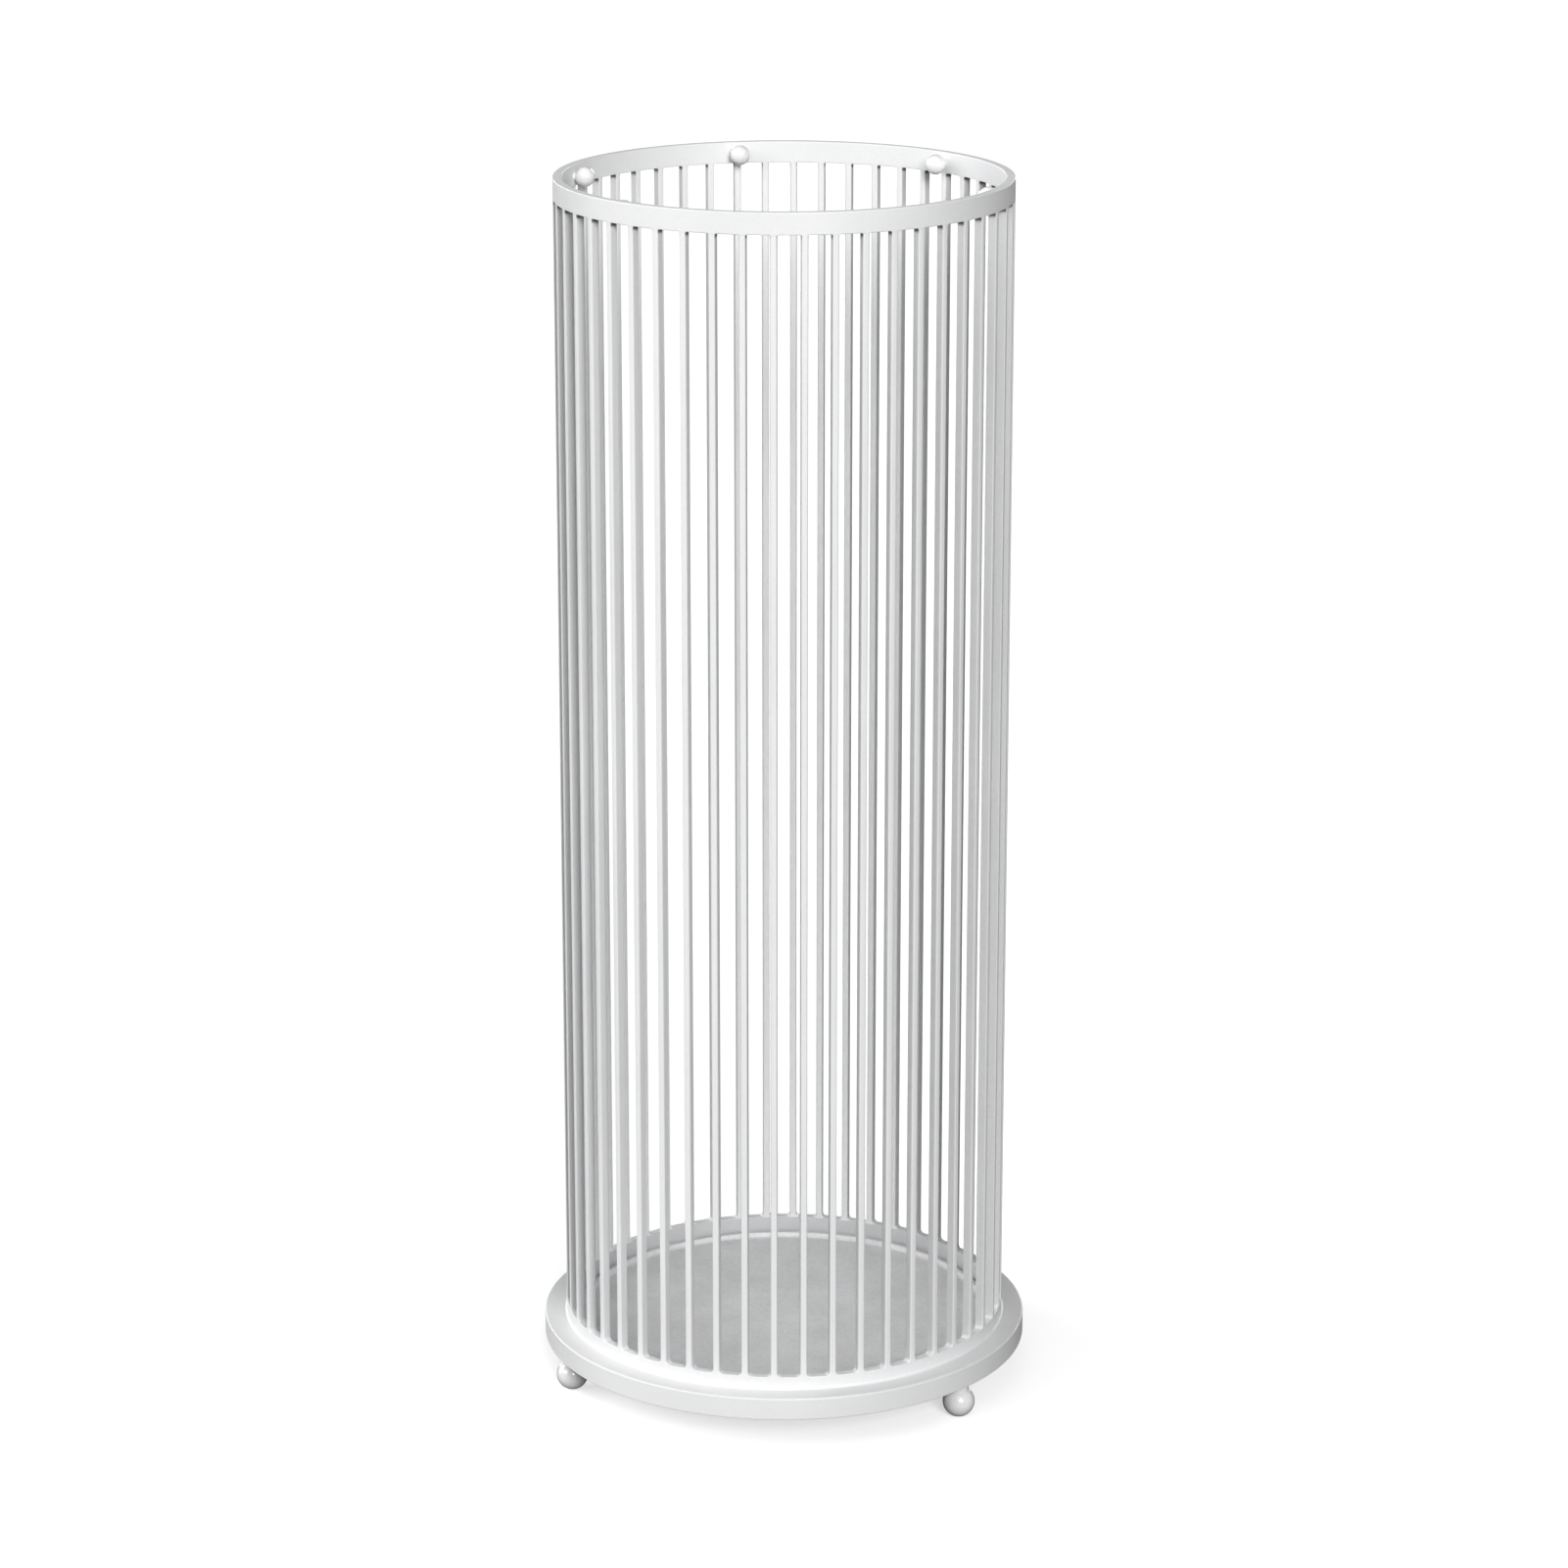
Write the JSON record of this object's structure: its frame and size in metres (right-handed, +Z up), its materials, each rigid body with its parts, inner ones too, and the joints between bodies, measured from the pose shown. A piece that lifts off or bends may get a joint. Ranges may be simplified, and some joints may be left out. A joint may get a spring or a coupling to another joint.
{
  "type": "umbrella stand",
  "caption": "Round white steel umbrella stand: slatted cage on a stepped base with ball feet, ball hooks inside the top ring and a loose drip tray.",
  "frame": {"origin": "on the stand's axis at floor level, under the middle of the base", "axes": "+Z up along the stand's axis, -Y to the front through the first hook, +X to the right"},
  "size_m": [0.22, 0.22, 0.55],
  "materials": {
    "powder_coat": "satin white powder coat",
    "ball_enamel": "gloss white enamel",
    "tray_coat": "matt light grey-white coat"
  },
  "bodies": {
    "stand": {"top_ring": "powder_coat", "bar_01": "powder_coat", "bar_02": "powder_coat", "bar_03": "powder_coat", "bar_04": "powder_coat", "bar_05": "powder_coat", "bar_06": "powder_coat", "bar_07": "powder_coat", "bar_08": "powder_coat", "bar_09": "powder_coat", "bar_10": "powder_coat", "bar_11": "powder_coat", "bar_12": "powder_coat", "bar_13": "powder_coat", "bar_14": "powder_coat", "bar_15": "powder_coat", "bar_16": "powder_coat", "bar_17": "powder_coat", "bar_18": "powder_coat", "bar_19": "powder_coat", "bar_20": "powder_coat", "bar_21": "powder_coat", "bar_22": "powder_coat", "bar_23": "powder_coat", "bar_24": "powder_coat", "bar_25": "powder_coat", "bar_26": "powder_coat", "bar_27": "powder_coat", "bar_28": "powder_coat", "bar_29": "powder_coat", "bar_30": "powder_coat", "bar_31": "powder_coat", "bar_32": "powder_coat", "bar_33": "powder_coat", "bar_34": "powder_coat", "bar_35": "powder_coat", "bar_36": "powder_coat", "bar_37": "powder_coat", "bar_38": "powder_coat", "bar_39": "powder_coat", "bar_40": "powder_coat", "bar_41": "powder_coat", "bar_42": "powder_coat", "bar_43": "powder_coat", "bar_44": "powder_coat", "bar_45": "powder_coat", "bar_46": "powder_coat", "bar_47": "powder_coat", "bar_48": "powder_coat", "base_ring": "powder_coat", "ball_foot_1": "ball_enamel", "ball_foot_2": "ball_enamel", "ball_foot_3": "ball_enamel", "hook_ball_1": "ball_enamel", "hook_ball_2": "ball_enamel", "hook_ball_3": "ball_enamel", "hook_ball_4": "ball_enamel", "hook_ball_5": "ball_enamel", "hook_ball_6": "ball_enamel"},
    "tray": {"drip_tray": "tray_coat"}
  },
  "joints": [
    {"name": "tray_lift", "type": "slide", "parent": "stand", "child": "tray", "axis": [0, 0, 1], "range_m": [0, 0.51]}
  ]
}
